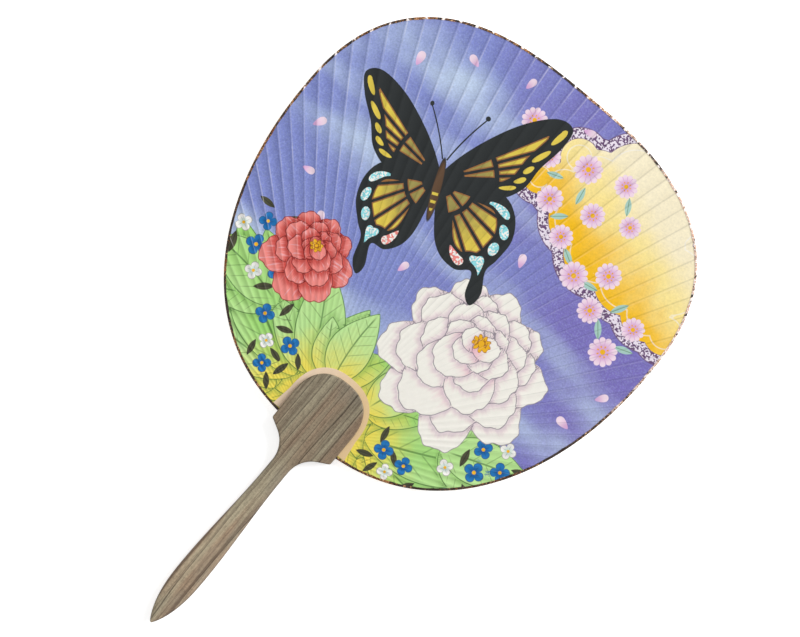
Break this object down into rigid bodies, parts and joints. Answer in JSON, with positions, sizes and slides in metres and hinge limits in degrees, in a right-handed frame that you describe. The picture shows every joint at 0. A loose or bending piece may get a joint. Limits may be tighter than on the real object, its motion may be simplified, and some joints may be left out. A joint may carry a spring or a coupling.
{
  "type": "round paper fan",
  "caption": "Rigid round paper fan: printed paper leaf on a spread of split bamboo ribs, bound at the rim and glued into a slotted wooden handle.",
  "frame": {"origin": "on the flat underside of the handle's head, straight under the point at which all the ribs aim", "axes": "+Y up the leaf along the handle's axis, +Z out of the printed face, +X to the right as the printed face is seen with the handle down"},
  "size_m": [0.247, 0.3754, 0.008],
  "materials": {
    "handle_wood": "matte",
    "bamboo": "matte",
    "printed_paper": "matte",
    "back_paper": "matte",
    "lining_paper": "matte",
    "binding_paper": "satin",
    "patch_paper": "matte"
  },
  "bodies": {
    "root": {"handle": "handle_wood", "front_paper": "printed_paper", "back_paper": "back_paper", "lining_paper": "lining_paper", "edge_binding": "binding_paper", "base_patch_front": "patch_paper", "base_patch_back": "patch_paper", "rib_centre": "bamboo", "rib_pair_01": "bamboo", "rib_pair_02": "bamboo", "rib_pair_03": "bamboo", "rib_pair_04": "bamboo", "rib_pair_05": "bamboo", "rib_pair_06": "bamboo", "rib_pair_07": "bamboo", "rib_pair_08": "bamboo", "rib_pair_09": "bamboo", "rib_pair_10": "bamboo", "rib_pair_11": "bamboo", "rib_pair_12": "bamboo", "rib_pair_13": "bamboo", "rib_pair_14": "bamboo", "rib_pair_15": "bamboo", "rib_pair_16": "bamboo", "rib_pair_17": "bamboo", "rib_pair_18": "bamboo", "rib_pair_19": "bamboo", "rib_pair_20": "bamboo", "rib_pair_21": "bamboo", "rib_pair_22": "bamboo", "rib_pair_23": "bamboo", "rib_pair_24": "bamboo", "rib_pair_25": "bamboo", "rib_pair_26": "bamboo", "rib_pair_27": "bamboo", "rib_pair_28": "bamboo", "rib_pair_29": "bamboo", "rib_pair_30": "bamboo", "rib_pair_31": "bamboo", "rib_pair_32": "bamboo", "rib_pair_33": "bamboo", "rib_pair_34": "bamboo", "rib_pair_35": "bamboo"}
  },
  "joints": []
}
